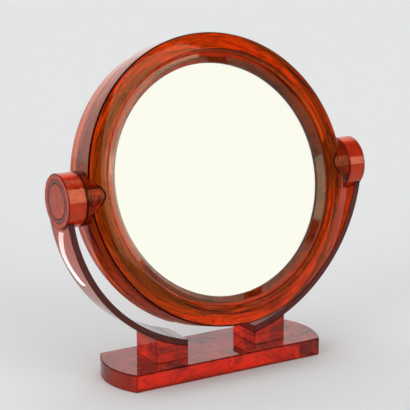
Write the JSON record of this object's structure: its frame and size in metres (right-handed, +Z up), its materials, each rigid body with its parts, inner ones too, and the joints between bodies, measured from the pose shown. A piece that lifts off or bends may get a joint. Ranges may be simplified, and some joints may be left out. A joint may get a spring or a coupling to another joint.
{
  "type": "tilting table mirror",
  "caption": "Round vanity mirror in a thick ring frame, tilting between curved arms on blocks and a flat base.",
  "frame": {"origin": "on the table, under the middle of the base plate", "axes": "+X along the pivot axis to the right seen from the front, +Y to the back, +Z up"},
  "size_m": [0.3104, 0.111, 0.3071],
  "materials": {
    "red_acrylic": "polished transparent red cast acrylic",
    "tortoise_acrylic": "polished marbled amber and red acrylic",
    "clear_acrylic": "polished clear acrylic, tinted by the frame behind it",
    "silvered_glass": "second-surface silvered float glass",
    "bushing_nylon": "dark nylon sleeve",
    "washer_film": "thin plastic film",
    "board": "grey-brown fibreboard"
  },
  "bodies": {
    "stand": {"base_plate": "red_acrylic", "left_pedestal_block": "red_acrylic", "left_arm": "red_acrylic", "left_pivot_drum": "red_acrylic", "left_pivot_bushing": "bushing_nylon", "left_thrust_washer": "washer_film", "right_pedestal_block": "red_acrylic", "right_arm": "red_acrylic", "right_pivot_drum": "red_acrylic", "right_pivot_bushing": "bushing_nylon", "right_thrust_washer": "washer_film"},
    "mirror": {"frame_front_ring": "tortoise_acrylic", "frame_rear_ring": "tortoise_acrylic", "front_bezel_ring": "clear_acrylic", "rear_bezel_ring": "clear_acrylic", "front_mirror_glass": "silvered_glass", "rear_mirror_glass": "silvered_glass", "front_backing_board": "board", "rear_backing_board": "board", "spacer_ring": "board", "left_pivot_journal": "red_acrylic", "left_pivot_hub": "red_acrylic", "right_pivot_journal": "red_acrylic", "right_pivot_hub": "red_acrylic"}
  },
  "joints": [
    {"name": "mirror_tilt", "type": "hinge", "parent": "stand", "child": "mirror", "pos_m": [0, 0, 0.17484], "axis": [1, 0, 0], "continuous": true}
  ]
}
